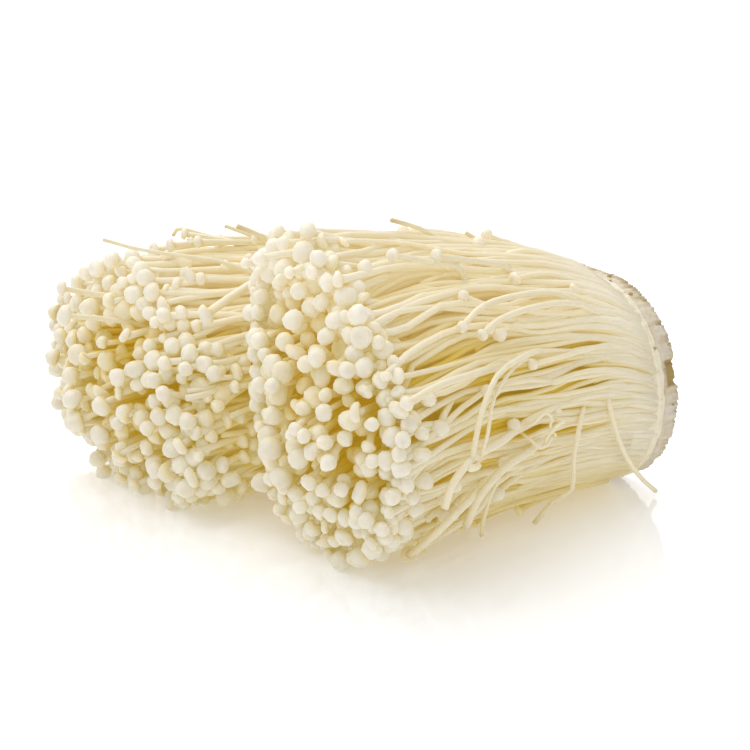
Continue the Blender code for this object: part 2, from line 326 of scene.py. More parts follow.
class Flow:
    """How the stems of one cluster run. A stem keeps near its place (rho, phi) in the cross-section
    while s runs from 0 at the collar to 1 at the ring of caps. There the cluster's top is pushed
    sideways by lean, its caps stand lower by the share sunken_top, under longer stems, its near side
    hangs by droop, its caps slope down by far_slope towards the far side, and where it rests it is
    narrower by the share pressed. On the cluster's side caps stand from low_field on where phi is near
    field_phi, and from high_field on elsewhere. crowding is the share of a full crowd of caps that
    stands there."""

    def __init__(self, root_y, ring, half_width, crown, side, sag, fields):
        self.root_y = root_y
        self.ring = Vector(ring)
        self.half_width = half_width
        self.crown = crown
        self.side = side
        self.lean, self.sunken_top, self.droop, self.pressed, self.far_slope = sag
        self.low_field, self.high_field, self.field_phi, self.crowding = fields
        self.length = ROOT_X - self.ring.x
        self.towards_field = Vector((0, math.cos(self.field_phi), math.sin(self.field_phi)))

    def cap_field(self, phi):
        return blend(self.high_field, self.low_field, clamp(math.cos(phi - self.field_phi) + 0.2))

    def half_height_at(self, s):
        return blend(BASE_RADIUS, self.ring.z, math.sqrt(max(s, 0.0)))

    def half_width_at(self, s):
        return blend(BASE_RADIUS, self.half_width, max(s, 0.0))

    def middle_y_at(self, s):
        return blend(self.root_y, self.ring.y, max(s, 0.0)**1.15)

    def girth(self, s, phi):
        return 1.0 - self.pressed * clamp(s) * clamp(1.4 * math.cos(phi - PRESSED_PHI))

    def depth_from_parting(self, point):
        """How far the point stands on this cluster's side of the parting plane."""
        (x0, y0), (x1, y1) = PARTING_AT_BASE, PARTING_AT_HEADS
        return self.side * (point.y - blend(y0, y1, (point.x - x0) / (x1 - x0)))

    def kept_aside(self, point):
        """The point, pressed back softly to this cluster's side of the parting."""
        depth = self.depth_from_parting(point)
        if depth < PARTING_SOFTNESS:
            kept = PARTING_SOFTNESS * math.exp((depth - PARTING_SOFTNESS) / PARTING_SOFTNESS)
            point.y += self.side * (kept - depth)
        return point

    def bundled(self, s, phi):
        """phi, drawn towards its neighbours so that stems run in bundles with gaps between them."""
        along = 3.5 * s + 20 * self.side
        place = Vector((BUNDLE_FINENESS * math.cos(phi), BUNDLE_FINENESS * math.sin(phi), along))
        return phi + BUNDLE_PULL * clamp(3 * s + 0.4) * noise.noise(place)

    def point(self, s, rho, phi):
        phi = self.bundled(s, phi)
        reach = rho * self.girth(s, phi)
        height = reach * math.sin(phi)
        y = self.middle_y_at(s) + reach * self.half_width_at(s) * math.cos(phi)
        y += self.lean * clamp(s) * max(height, 0.0)
        z = self.half_height_at(s) * (1 + height) - self.hang(s, rho, phi)
        return self.kept_aside(Vector((ROOT_X - s * self.length, y, z)))

    def end_of(self, rho):
        """How far a stem at rho reaches: the crown of caps bulges past the ring."""
        return 1.0 + self.crown * max(0.0, 1.0 - rho * rho) / self.length

    def place_of(self, point):
        """(s, rho, phi) of any point."""
        s = (ROOT_X - point.x) / self.length
        height = point.z / self.half_height_at(s) - 1
        y = point.y - self.middle_y_at(s) - self.lean * clamp(s) * max(height, 0.0)
        across = y / self.half_width_at(s)
        phi = math.atan2(height, across)
        height += self.hang(s, math.hypot(across, height), phi) / self.half_height_at(s)
        phi = math.atan2(height, across)
        return s, math.hypot(across, height) / self.girth(s, phi), phi

    def hang(self, s, rho, phi):
        """How far the flow sinks there: its near side droops, and its far top slopes down at the caps."""
        near_side = self.droop * max(-math.cos(phi), 0.0) * (1 + math.sin(phi))
        far_top = self.far_slope * max(math.cos(phi) + 0.27, 0.0) * max(math.sin(phi), 0.0)
        return (near_side * clamp(s)**2 + far_top * clamp(s)**6) * rho

    def shade(self, point):
        """(painted shade, painted light from above) at the point."""
        return self.buried(point), self.lit(point)

    def buried(self, point):
        """How much painted golden shade the point takes: 0 on the cluster's surface, up to 1 deep inside,
        and part of that near the floor.
        """
        s, rho, phi = self.place_of(point)
        golden_depth = blend(LOW_SIDE_DEPTH, TOP_SIDE_DEPTH, clamp(1.8 * math.sin(phi) - 0.8))
        golden_depth = blend(BASE_DEPTH, golden_depth, clamp(s / 0.4))
        from_side = (1.01 - rho) * self.half_width_at(s) / golden_depth
        from_end = (self.end_of(rho) - s) * self.length / END_DEPTH
        from_parting = self.depth_from_parting(point) / PARTING_SOFTNESS + 0.25
        inside = clamp(min(from_side, from_end, from_parting)) * clamp((s + 0.01) / 0.04)
        return max(inside, UNDERSIDE_SHADE * clamp(1.2 - point.z / UNDERSIDE_HEIGHT) * clamp(8 * (1 - s)))

    def lit(self, point):
        """How much painted light from above, as if it came through the bunch, the point takes: 1 near its
        top, 0 low down.
        """
        s = (ROOT_X - point.x) / self.length
        return clamp(2.0 * (point.z / self.half_height_at(s) - 1.25))


class Mushroom:
    """One mushroom of a cluster: a stem that wanders along the flow, with a cap on its tip."""

    def __init__(self, flow, chance, root_s, tip_s, rho, phi, stem_radius, cap_radius):
        self.flow = flow
        self.root_s, self.tip_s = root_s, tip_s
        self.rho, self.phi = rho, phi
        self.stem_radius = stem_radius * chance.uniform(0.82, 1.18)
        self.cap_radius = cap_radius
        self.drift = chance.gauss(0, 0.15)
        self.flare = 0.04
        self.fused = False
        self.sway = chance.uniform(0.015, 0.085)
        self.lift = chance.uniform(-0.045, 0.035)
        self.bend = Vector([chance.gauss(0, 0.0018) for _ in range(3)])
        self.hook = Vector([chance.gauss(0, 0.0014) for _ in range(3)])
        self.turn = chance.uniform(0, 2 * math.pi)
        self.waves = chance.uniform(0.7, 1.8)
        self.shift = Vector()
        self.hook_power = chance.uniform(5, 12)
        self.tilt = Vector([chance.gauss(0, 0.42) for _ in range(3)])
        self.tint = chance.random()

    def place_at(self, t):
        """(s, rho, phi) at the share t of the stem's length."""
        s = blend(self.root_s, self.tip_s, t)
        free = clamp(s) ** 0.7
        wave = math.sin(self.turn + 2 * math.pi * self.waves * s)
        phi = self.phi + free * (self.drift * (1 - t) + self.sway * wave)
        rho = self.rho * (1 + self.flare * t**5) + free * self.lift * math.cos(self.turn + 5 * s)
        if self.fused:
            rho = blend(FUSED_RHO + 0.3 * self.lift, rho, clamp(s / FUSED_UNTIL))
        return s, rho - ROOT_SLOPE * max(MELTED_FROM - s, 0.0), phi

    def centre_line(self):
        line = []
        for t in STATIONS:
            point = self.flow.point(*self.place_at(t)) + self.shift * t**2 + self.hook * t**self.hook_power
            point.z = max(point.z, self.stem_radius)
            line.append(point)
        return line

    def tip(self):
        return self.flow.point(*self.place_at(1.0)) + self.bend + self.hook

    def hook_out(self, outward, sag):
        """Bends the stem's end away from the cluster's middle and down, by about these lengths."""
        out = Vector((0, math.cos(self.phi), math.sin(self.phi)))
        self.hook += outward * self.rho * out
        self.hook.z -= sag


def settle(mushrooms):
    """Pushes the caps of one cluster apart. Some of them still overlap after the last round."""
    tips = [mushroom.tip() for mushroom in mushrooms]
    starts = [tip.copy() for tip in tips]
    reach = 2 * max(mushroom.cap_radius for mushroom in mushrooms)
    for _ in range(SETTLE_ROUNDS):
        tree = kdtree.KDTree(len(tips))
        for i, tip in enumerate(tips):
            tree.insert(tip, i)
        tree.balance()
        pushes = [Vector() for _ in tips]
        for i, tip in enumerate(tips):
            for other, j, distance in tree.find_range(tip, reach):
                wanted = CAP_SPACING * (mushrooms[i].cap_radius + mushrooms[j].cap_radius)
                if i < j and 0 < distance < wanted:
                    push = (tip - other) * (PUSH_SHARE * (wanted - distance) / distance)
                    pushes[i] += push
                    pushes[j] -= push
        for mushroom, tip, push in zip(mushrooms, tips, pushes):
            tip += push
            tip.z = max(tip.z, 0.9 * mushroom.cap_radius)
            inside = mushroom.flow.depth_from_parting(tip) - mushroom.cap_radius
            if inside < 0:
                tip.y -= mushroom.flow.side * inside
            s, rho, _ = mushroom.flow.place_of(tip)
            furthest = max(mushroom.tip_s, mushroom.flow.end_of(rho)) + 0.01
            tip.x += max(0.0, s - furthest) * mushroom.flow.length
            if rho > WIDEST_TIP:
                middle = Vector((tip.x, mushroom.flow.middle_y_at(s), mushroom.flow.half_height_at(s)))
                tip += (middle - tip) * (1 - WIDEST_TIP / rho)
    for mushroom, tip, start in zip(mushrooms, tips, starts):
        mushroom.shift = tip - start + mushroom.bend


# Templates and planting


def mesh_of(bm, name):
    mesh = bpy.data.meshes.new(name)
    bm.to_mesh(mesh)
    bm.free()
    return mesh


def stand(name, data):
    """A new object in the scene."""
    thing = bpy.data.objects.new(name, data)
    bpy.context.scene.collection.objects.link(thing)
    return thing


def stem_template():
    """A closed tube of radius 1 from z = 0 to z = 1."""
    bm = bmesh.new()
    bmesh.ops.create_cone(bm, cap_ends=True, segments=STEM_SIDES, radius1=1, radius2=1, depth=1)
    upright = [edge for edge in bm.edges if abs(edge.verts[0].co.z - edge.verts[1].co.z) > 0.5]
    bmesh.ops.subdivide_edges(bm, edges=upright, cuts=STEM_SEGMENTS - 1, use_grid_fill=True)
    bmesh.ops.translate(bm, verts=bm.verts, vec=(0, 0, 0.5))
    return mesh_of(bm, "stem_template")


def cap_template(outline):
    """The outline spun round the Z axis."""
    bm = bmesh.new()
    verts = [bm.verts.new((radius, 0, height)) for radius, height in outline]
    edges = [bm.edges.new(pair) for pair in zip(verts, verts[1:])]
    bmesh.ops.spin(bm, geom=verts + edges, cent=(0, 0, 0), axis=(0, 0, 1), angle=2 * math.pi,
                   steps=CAP_SIDES, use_merge=True)
    bmesh.ops.remove_doubles(bm, verts=bm.verts, dist=0.0001)
    bmesh.ops.recalc_face_normals(bm, faces=bm.faces)
    return mesh_of(bm, "cap_template")


class Bed:
    """A mesh in the making, into which templates are planted. Its points carry how far along the
    stem they are, how much painted golden shade they take, how much painted light from above
    reaches them through the bunch, how browned they are, and their mushroom's own tint."""

    def __init__(self):
        self.bm = bmesh.new()
        layers = self.bm.verts.layers.float
        self.along = layers.new("along")
        self.buried = layers.new("buried")
        self.lit = layers.new("lit")
        self.browned = layers.new("browned")
        self.tint = layers.new("tint")

    def add(self, template):
        before = len(self.bm.verts)
        self.bm.from_mesh(template)
        self.bm.verts.ensure_lookup_table()
        return self.bm.verts[before:]

    def stem(self, template, line, radii, alongs, shade, tint, browned_tip=0.0):
        """Bends the tube template to the line. shade gives (painted shade, painted light) at a point."""
        frames = []
        across = Vector((0.1, 0.9, 0.3))
        for i, centre in enumerate(line):
            tangent = (line[min(i + 1, len(line) - 1)] - line[max(i - 1, 0)]).normalized()
            across = (across - tangent * across.dot(tangent)).normalized()
            frames.append((centre, across, tangent.cross(across), radii[i]))
        last = len(line) - 1
        for vert in self.add(template):
            station = round(vert.co.z * last)
            centre, side, upward, radius = frames[station]
            x, y = vert.co.x, vert.co.y
            vert.co = centre + radius * (x * side + y * upward)
            vert[self.along] = alongs[station]
            vert[self.buried], vert[self.lit] = shade(vert.co)
            vert[self.browned] = browned_tip * clamp(1 - (last - station) / 1.8)
            vert[self.tint] = tint

    def cap(self, template, seat, axis, radius, height, turn, shade, tint, browned=0.0):
        """Stands the cap template on its seat. It takes painted golden shade on its underside, more where
        its seat lies deep, and part of the painted light from above.
        """
        fresh = self.add(template)
        buried, lit = shade
        lumps = Vector((seat.x, seat.y, seat.z)) * 900
        for vert in fresh:
            vert[self.along] = vert.co.z
            vert[self.buried] = clamp(buried + 0.45 * clamp(0.5 - vert.co.z))
            vert[self.lit] = 0.6 * lit
            vert.co *= 1 + 0.16 * noise.noise(1.2 * vert.co + lumps)
            vert[self.browned] = browned * clamp(vert.co.z)
            vert[self.tint] = tint
        upright = axis.to_track_quat("Z", "Y").to_matrix().to_4x4()
        sizes = Matrix.Diagonal((radius, radius * (0.86 + 0.14 * tint), height, 1))
        matrix = Matrix.Translation(seat) @ upright @ Matrix.Rotation(turn, 4, "Z") @ sizes
        bmesh.ops.transform(self.bm, matrix=matrix, verts=fresh)

    def finish(self, name, material, node):
        return place_piece(name, self.bm, material, node)


def place_piece(name, bm, material, node):
    """Moves the shape to the CAD frame and makes it the node's visible piece."""
    bmesh.ops.translate(bm, verts=bm.verts, vec=ZERO)
    mesh = mesh_of(bm, name)
    mesh.polygons.foreach_set("use_smooth", [True] * len(mesh.polygons))
    mesh.materials.append(material)
    piece = stand(name, mesh)
    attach(piece, "root")
    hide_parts(node)
    return piece


# Materials


def new_material(name, roughness):
    """A material's nodes and links, with its Principled shader."""
    material = bpy.data.materials.new(name)
    material.use_nodes = True
    tree = material.node_tree
    shader = tree.nodes["Principled BSDF"]
    shader.inputs["Roughness"].default_value = roughness
    return material, tree, shader


def add_node(tree, kind, at, **values):
    node = tree.nodes.new(kind)
    node.location = at
    for key, value in values.items():
        setattr(node, key, value)
    return node


def mix_colours(tree, at, factor, first, second, mode="MIX"):
    """A colour mix. Each of factor, first and second is a socket or a constant."""
    node = add_node(tree, "ShaderNodeMix", at, data_type="RGBA", blend_type=mode)
    for name, value in (("Factor", factor), ("A", first), ("B", second)):
        socket = node.inputs[name]
        if isinstance(value, bpy.types.NodeSocket):
            tree.links.new(value, socket)
        else:
            socket.default_value = value
    return node.outputs["Result"]


def carried(tree, at, name):
    """The value that the mesh's points carry under this name."""
    return add_node(tree, "ShaderNodeAttribute", at, attribute_name=name).outputs["Fac"]


def noise_value(tree, at, place, scale, **inputs):
    """Noise of this scale over a place."""
    node = add_node(tree, "ShaderNodeTexNoise", at)
    node.inputs["Scale"].default_value = scale
    for key, value in inputs.items():
        node.inputs[key].default_value = value
    tree.links.new(place, node.inputs["Vector"])
    return node.outputs["Fac"]


def rgba(colour):
    return (*colour, 1.0)


def mushroom_tint_group(colours):
    """Node group that colours mushroom flesh: painted golden shade where it lies deep, brown where dried,
    mottled all over, with fine fibres along X for the stems. Its glow is painted: faint at the surface,
    golden in that shade, brighter near the top."""
    name = "Mushroom flesh tint"
    if name in bpy.data.node_groups:
        return bpy.data.node_groups[name]
    group = bpy.data.node_groups.new(name, "ShaderNodeTree")
    face = group.interface
    face.new_socket("Flesh", in_out="INPUT", socket_type="NodeSocketColor")
    face.new_socket("Fibre", in_out="INPUT", socket_type="NodeSocketFloat")
    face.new_socket("Color", in_out="OUTPUT", socket_type="NodeSocketColor")
    face.new_socket("Glow", in_out="OUTPUT", socket_type="NodeSocketColor")
    face.new_socket("Height", in_out="OUTPUT", socket_type="NodeSocketFloat")
    given = add_node(group, "NodeGroupInput", (-900, 0))
    out = add_node(group, "NodeGroupOutput", (900, 0))
    place = add_node(group, "ShaderNodeTexCoord", (-1300, -300))
    long_grain = add_node(group, "ShaderNodeMapping", (-1100, -300))
    long_grain.inputs["Scale"].default_value = (60, 1100, 1100)
    group.links.new(place.outputs["Object"], long_grain.inputs["Vector"])
    fibres = noise_value(group, (-900, -300), long_grain.outputs["Vector"], 1.0)
    mottle = noise_value(group, (-900, -600), place.outputs["Object"], 420.0)
    grain = add_node(group, "ShaderNodeMix", (-600, -400), data_type="FLOAT")
    group.links.new(given.outputs["Fibre"], grain.inputs["Factor"])
    group.links.new(mottle, grain.inputs["A"])
    group.links.new(fibres, grain.inputs["B"])
    shade = add_node(group, "ShaderNodeMapRange", (-400, -400))
    shade.inputs["From Min"].default_value = 0.3
    shade.inputs["From Max"].default_value = 0.7
    group.links.new(grain.outputs["Result"], shade.inputs["Value"])
    tint = carried(group, (-900, 300), "tint")
    buried = carried(group, (-900, 500), "buried")
    browned = carried(group, (-900, 700), "browned")
    lit = carried(group, (350, -500), "lit")
    varied = mix_colours(group, (-300, 300), tint, (1.0, 0.985, 0.95, 1), (0.94, 0.915, 0.85, 1))
    flesh = mix_colours(group, (-100, 200), 1.0, given.outputs["Flesh"], varied, "MULTIPLY")
    grained = mix_colours(group, (-100, -200), shade.outputs["Result"], (0.955, 0.94, 0.90, 1),
                          (1, 1, 1, 1))
    worn = mix_colours(group, (100, 100), 1.0, flesh, grained, "MULTIPLY")
    # Painted golden shade, mixed in where the flesh lies deep
    deep = mix_colours(group, (350, 100), buried, worn, rgba(colours.depth))
    dried = mix_colours(group, (600, 100), browned, deep, rgba(colours.browned))
    group.links.new(dried, out.inputs["Color"])
    # Painted glow: faint at the surface, golden in the painted shade, brighter near the top
    faint = mix_colours(group, (350, -200), 1.0, worn, (*SKIN_GLOW, 1), "MULTIPLY")
    from_within = mix_colours(group, (600, -200), buried, faint, rgba(colours.glow))
    from_above = mix_colours(group, (750, -300), lit, from_within, rgba(colours.top_glow))
    group.links.new(from_above, out.inputs["Glow"])
    group.links.new(grain.outputs["Result"], out.inputs["Height"])
    return group


def flesh_shader(shader, weight, glow):
    """Light sinks a little way into moist pale flesh, and a painted glow comes out of it from all round."""
    shader.inputs["Subsurface Weight"].default_value = weight
    shader.inputs["Subsurface Radius"].default_value = (1.0, 0.75, 0.40)
    shader.inputs["Subsurface Scale"].default_value = 0.0020
    shader.inputs["Emission Strength"].default_value = glow
    shader.inputs["Specular IOR Level"].default_value = 0.42


def tinted(tree, shader, group, flesh, fibre, bump_strength, bump_distance):
    """Feeds the flesh colour, a socket or a constant, through the tint group into the shader."""
    tint = add_node(tree, "ShaderNodeGroup", (-300, 200), node_tree=group)
    tint.inputs["Fibre"].default_value = fibre
    if isinstance(flesh, bpy.types.NodeSocket):
        tree.links.new(flesh, tint.inputs["Flesh"])
    else:
        tint.inputs["Flesh"].default_value = flesh
    bump = add_node(tree, "ShaderNodeBump", (-300, -100))
    bump.inputs["Strength"].default_value = bump_strength
    bump.inputs["Distance"].default_value = bump_distance
    tree.links.new(tint.outputs["Height"], bump.inputs["Height"])
    tree.links.new(tint.outputs["Color"], shader.inputs["Base Color"])
    tree.links.new(tint.outputs["Glow"], shader.inputs["Emission Color"])
    tree.links.new(bump.outputs["Normal"], shader.inputs["Normal"])


def stem_material(colours):
    """White where the stems grow together, cream and then paler again under the caps."""
    name = "Enoki stem flesh"
    if name in bpy.data.materials:
        return bpy.data.materials[name]
    material, tree, shader = new_material(name, 0.42)
    ramp = add_node(tree, "ShaderNodeValToRGB", (-800, 200))
    tree.links.new(carried(tree, (-1100, 200), "along"), ramp.inputs["Fac"])
    stops = ramp.color_ramp.elements
    stops[0].position, stops[0].color = 0.0, rgba(colours.foot)
    stops[1].position, stops[1].color = 1.0, rgba(blend(Vector(colours.stem), Vector(colours.cap), 0.35))
    for position, share in ((0.12, 0.35), (0.35, 1.0), (0.8, 0.95)):
        stop = stops.new(position)
        stop.color = rgba(blend(Vector(colours.foot), Vector(colours.stem), share))
    tinted(tree, shader, mushroom_tint_group(colours), ramp.outputs["Color"], 1.0, 0.35, 0.0003)
    flesh_shader(shader, 0.16, 0.19)
    return material


def cap_material(colours):
    """Ivory skin, moist and smooth."""
    name = "Enoki cap skin"
    if name in bpy.data.materials:
        return bpy.data.materials[name]
    material, tree, shader = new_material(name, 0.44)
    tinted(tree, shader, mushroom_tint_group(colours), rgba(colours.cap), 0.0, 0.25, 0.0002)
    flesh_shader(shader, 0.75, 0.275)
    shader.inputs["Coat Weight"].default_value = 0.05
    shader.inputs["Coat Roughness"].default_value = 0.25
    return material


# Clusters


def stem_radii(stem_radius, alongs):
    """Stems thicken towards the foot, taper inside the collar, and swell a little under the cap."""
    radii = []
    for i, along in enumerate(alongs):
        foot = 0.30 * clamp(1 - along / 0.3) - 4.0 * clamp(-along)
        radii.append(stem_radius * (0.95 + foot + 0.10 * (i / STEM_SEGMENTS)**8))
    return radii


def grow(flow, bunch, seed):
    """All mushrooms of one cluster: those of its head, those along its side, the crowd on its near
    side, long ones over a sunken top, hanging ones on its low side, and short ones."""
    chance = random.Random(seed)
    settled = []

    def cap_radius(low=0.0, high=1.0):
        return blend(bunch.small_cap, bunch.large_cap, blend(low, high, chance.random() ** 1.2))

    for i in range(bunch.head_count):
        rho = 0.97 * math.sqrt((i + 0.5) / bunch.head_count)
        phi = i * GOLDEN_ANGLE
        below = chance.choice((0.0, 0.0, 0.02, 0.05, 0.10)) + chance.uniform(0, 0.03)
        tip_s = flow.end_of(rho) - below
        rho *= 1 - flow.sunken_top * max(math.sin(phi), 0.0) ** 3
        head = Mushroom(flow, chance, 0.40 if rho < 0.85 else 0.02, tip_s, rho, phi, bunch.stem_radius,
                        cap_radius(0.25))
        head.hook_out(chance.uniform(0, 0.005), chance.uniform(0, 0.003))
        head.hook += chance.uniform(0, 0.004) * flow.towards_field
        settled.append(head)
    for i in range(bunch.side_count):
        rho = (0.99, 0.95, 0.975, 0.91)[i % 4] + chance.uniform(-0.01, 0.01)
        phi = 2 * math.pi * (i + 0.7 * chance.random()) / bunch.side_count
        if math.sin(phi) < -0.8 and i % 2:
            continue
        tip_s = blend(flow.cap_field(phi), 1.05, chance.random() ** 0.7)
        stunted = i % 5 < 3 and math.sin(phi) < 0.5
        side = Mushroom(flow, chance, SKIN_ROOT, tip_s, rho, phi, bunch.stem_radius,
                        0.0 if stunted else cap_radius(0.1, 0.9))
        side.fused = True
        side.flare = chance.uniform(0.0, 0.07) * (1.0 if math.sin(phi) > -0.3 else 0.2)
        side.flare -= flow.sunken_top * max(math.sin(phi), 0.0) ** 2
        if stunted:
            side.flare -= 0.08
        side.hook_out(chance.uniform(0, 0.004), chance.uniform(0, 0.004))
        settled.append(side)
    for _ in range(round(bunch.field_count * flow.crowding)):
        phi = chance.gauss(flow.field_phi, 0.65)
        tip_s = blend(1.03, flow.low_field, chance.random() ** 1.3)
        crowd = Mushroom(flow, chance, 0.25, tip_s, chance.uniform(0.90, 1.0), phi, bunch.stem_radius,
                         cap_radius(0.25))
        crowd.flare = chance.uniform(0.0, 0.08)
        crowd.bend = CROWD_BEND * Vector([chance.gauss(0, 1) for _ in range(3)])
        crowd.hook_out(chance.uniform(0, 0.006), chance.uniform(0, 0.005))
        settled.append(crowd)
    for _ in range(bunch.over_count if flow.sunken_top else 0):
        phi = math.radians(chance.uniform(48, 102))
        over = Mushroom(flow, chance, 0.1, chance.uniform(1.0, 1.2), chance.uniform(0.90, 0.97), phi,
                        bunch.stem_radius, cap_radius(0.0, 0.5))
        over.flare = chance.uniform(-0.05, 0.01)
        settled.append(over)
    for _ in range(bunch.hanging_count if flow.sunken_top else 0):
        phi = math.radians(chance.uniform(198, 238))
        hanging = Mushroom(flow, chance, 0.05, chance.uniform(0.62, 0.93), chance.uniform(0.98, 1.02), phi,
                           bunch.stem_radius, chance.choice((0.0, 0.0, 1.0)) * cap_radius(0.0, 0.5))
        hanging.hook_out(chance.uniform(0.002, 0.006), chance.uniform(0.002, 0.010))
        hanging.hook_power = chance.uniform(3, 7)
        settled.append(hanging)
    for i in range(bunch.short_count):
        rho = chance.uniform(0.98, 1.05)
        phi = i * GOLDEN_ANGLE
        tip_s = chance.uniform(0.35, flow.cap_field(phi))
        short = Mushroom(flow, chance, SKIN_ROOT, tip_s, rho, phi, 0.85 * bunch.stem_radius,
                         cap_radius(0.0, 0.35))
        short.fused = True
        settled.append(short)
    settle(settled)
    return settled


def plant_cluster(name, node, flow, seed):
    """Plants a cluster's mushrooms, the strands over its foot, and the core inside it."""
    scene = bpy.context.scene
    bunch = scene.enoki_bunch
    stems, caps = Bed(), Bed()
    tube = stem_template()
    caps_of_kind = [cap_template(outline) for outline in CAP_KINDS]
    chance = random.Random(seed + 1)
    for mushroom in grow(flow, bunch, seed):
        line = mushroom.centre_line()
        alongs = [mushroom.place_at(t)[0] for t in STATIONS]
        stems.stem(tube, line, stem_radii(mushroom.stem_radius, alongs), alongs, flow.shade, mushroom.tint)
        axis = (line[-1] - line[-2]).normalized() + mushroom.tilt
        radius = mushroom.cap_radius
        if not radius:
            continue
        caps.cap(chance.choice(caps_of_kind), line[-1], axis.normalized(), radius,
                 radius * chance.uniform(0.85, 1.15), chance.uniform(0, 2 * math.pi),
                 (CAP_SHADE * flow.buried(line[-1]), flow.lit(line[-1])), mushroom.tint)
    for i in range(bunch.strand_count):
        strand = Mushroom(flow, chance, SKIN_ROOT, chance.uniform(0.2, 0.75), chance.uniform(0.975, 1.005),
                          i * GOLDEN_ANGLE, 0.72 * bunch.stem_radius, 0.0)
        strand.fused = True
        strand.flare = chance.uniform(-0.08, -0.02)
        alongs = [strand.place_at(t)[0] for t in STATIONS]
        radii = stem_radii(strand.stem_radius, alongs)
        stems.stem(tube, strand.centre_line(), radii, alongs, flow.shade, 0.5 * strand.tint)
    stems.finish(f"{name}_stems", stem_material(scene.enoki_colours), node)
    caps.finish(f"{name}_caps", cap_material(scene.enoki_colours), node)
    plant_core(name, node, flow)


def plant_core(name, node, flow):
    """The stems deep inside a cluster, seen only through the gaps: one ridged tube."""
    bed = Bed()
    circle = bmesh.ops.create_circle(bed.bm, cap_ends=True, radius=1.0,
                                     segments=2 * CORE_RIDGES)["verts"]
    rims = [circle]
    face = bed.bm.faces[:][0]
    for _ in CORE_STATIONS[1:]:
        face = bmesh.ops.extrude_discrete_faces(bed.bm, faces=[face])["faces"][0]
        rims.append(face.verts[:])
    angles = {}
    for s, rim in zip(CORE_STATIONS, rims):
        for vert in rim:
            angle = math.atan2(vert.co.y, vert.co.x)
            rho = 0.80 - 0.03 * math.cos(CORE_RIDGES * angle)
            angles[vert] = angle, flow.point(s, rho, angle)
    for vert, (angle, point) in angles.items():
        vert.co = point
        # Painted golden shade over the whole tube, half as much on its top
        vert[bed.buried] = 1.0 - 0.5 * max(math.sin(angle), 0.0)
        vert[bed.lit] = flow.lit(point)
        vert[bed.along] = 0.5
        vert[bed.tint] = 0.5
    bmesh.ops.holes_fill(bed.bm, edges=[edge for edge in bed.bm.edges if edge.is_boundary])
    bmesh.ops.recalc_face_normals(bed.bm, faces=bed.bm.faces)
    bed.finish(f"{name}_depth", stem_material(bpy.context.scene.enoki_colours), node)


# Loose mushrooms

# Stems that left the flow, root first, in millimetres: (points, share of the stem radius, cap radius,
# browned tip). A cap radius of 0 is a stem that broke off.
FRONT_LOOSE = (
    (((-40, -2, 71), (-57, -2.5, 80), (-68, -3, 84), (-76, -4, 88.4), (-86, -5, 92.3)), 0.7, 0, 0.5),
    (((-50, 0, 74), (-66, 0, 81), (-80, 0, 85.2), (-87, 0, 87.6)), 0.85, 0, 0.6),
    (((-30, 5, 68), (-37, 5, 73), (-48, 4, 78.5), (-54, 4, 82.4)), 0.6, 0, 0.3),
    (((-20, 5, 64), (-27, 5, 69), (-34, 5, 73.6), (-39, 5, 78)), 0.5, 0, 0.3),
    (((-14, 5, 62), (-20, 5, 66), (-26, 5, 70.6), (-31, 5, 73.8)), 0.5, 0, 0.3),
    (((-60, 2, 76), (-80, 1, 80), (-98, 0, 84), (-116, 0, 89.5)), 1.0, 2.9, 0),
    (((-60, 6, 76), (-78, 5, 82), (-95, 5, 86.5), (-107, 5, 88.9)), 0.9, 2.5, 0),
    (((-70, -22, 80), (-84, -25, 84), (-99, -26, 88.5)), 0.9, 2.2, 0),
    (((-50, -18, 76), (-66, -22, 81), (-84, -25, 86)), 0.9, 2.2, 0),
    (((-20, -22, 60), (-44, -28, 70), (-61, -32, 73), (-77, -37, 73.5), (-88, -43, 71)), 0.95, 1.9, 0),
    (((-16, -24, 57), (-37, -29, 66), (-55, -34, 69.5), (-73, -40, 70), (-82, -44, 68)), 0.95, 1.8, 0),
    (((-66, -42, 58), (-90, -49, 59), (-102, -53, 59.5), (-115, -57, 58)), 1.1, 2.2, 0),
    (((-50, -36, 58), (-66, -44, 60), (-80, -49, 58), (-88, -53, 51), (-91, -54, 43), (-92, -53.5, 36)),
     0.85, 2.9, 0),
    (((-56, -38, 57), (-72, -46, 58), (-83, -51, 52), (-87, -54, 44), (-89, -53.5, 37)), 0.55, 0, 0),
    (((-30, -30, 39), (-42, -39, 37), (-46.5, -41, 31), (-46, -39, 22), (-43, -35, 13), (-46, -30, 8),
      (-52, -29, 2)), 0.75, 0, 0.1),
    (((-22, -28, 42), (-31, -36.5, 37), (-28.5, -37, 27), (-21, -33, 17), (-12, -29, 8), (-4, -26, 1.6)),
     0.75, 0, 0),
    (((-60, -42, 38), (-79, -49, 38), (-91, -53, 37), (-99, -55, 32), (-101, -54, 25)), 1.15, 0, 0),
    (((-50, -38, 32), (-64, -43, 31), (-77, -47, 29), (-85, -47, 22), (-86, -43, 13)), 1.15, 0, 0),
    (((-68, -40, 28), (-76, -42, 22), (-75, -36, 11), (-70, -28, 2)), 0.6, 0, 0.2),
    (((-70, -42, 26), (-88, -47, 22), (-96, -45, 15), (-99, -39, 8), (-98, -33, 4)), 1.1, 2.8, 0),
    (((-70, -40, 22), (-84, -43, 16), (-92, -36, 8), (-93, -31, 4)), 0.9, 1.9, 0),
    (((-67, -46, 37), (-66, -47.5, 41), (-63, -47.5, 43), (-60, -46.5, 41), (-60, -46, 38)), 0.42, 0, 0),
    (((-53, -44, 36), (-55, -46, 38.5), (-58, -46.5, 38), (-61, -46, 35), (-61, -45, 32)), 0.45, 0, 0),
    (((-66, -46, 35), (-64, -47, 33), (-61, -46, 33), (-58, -45, 35)), 0.5, 1.0, 0.3),
)
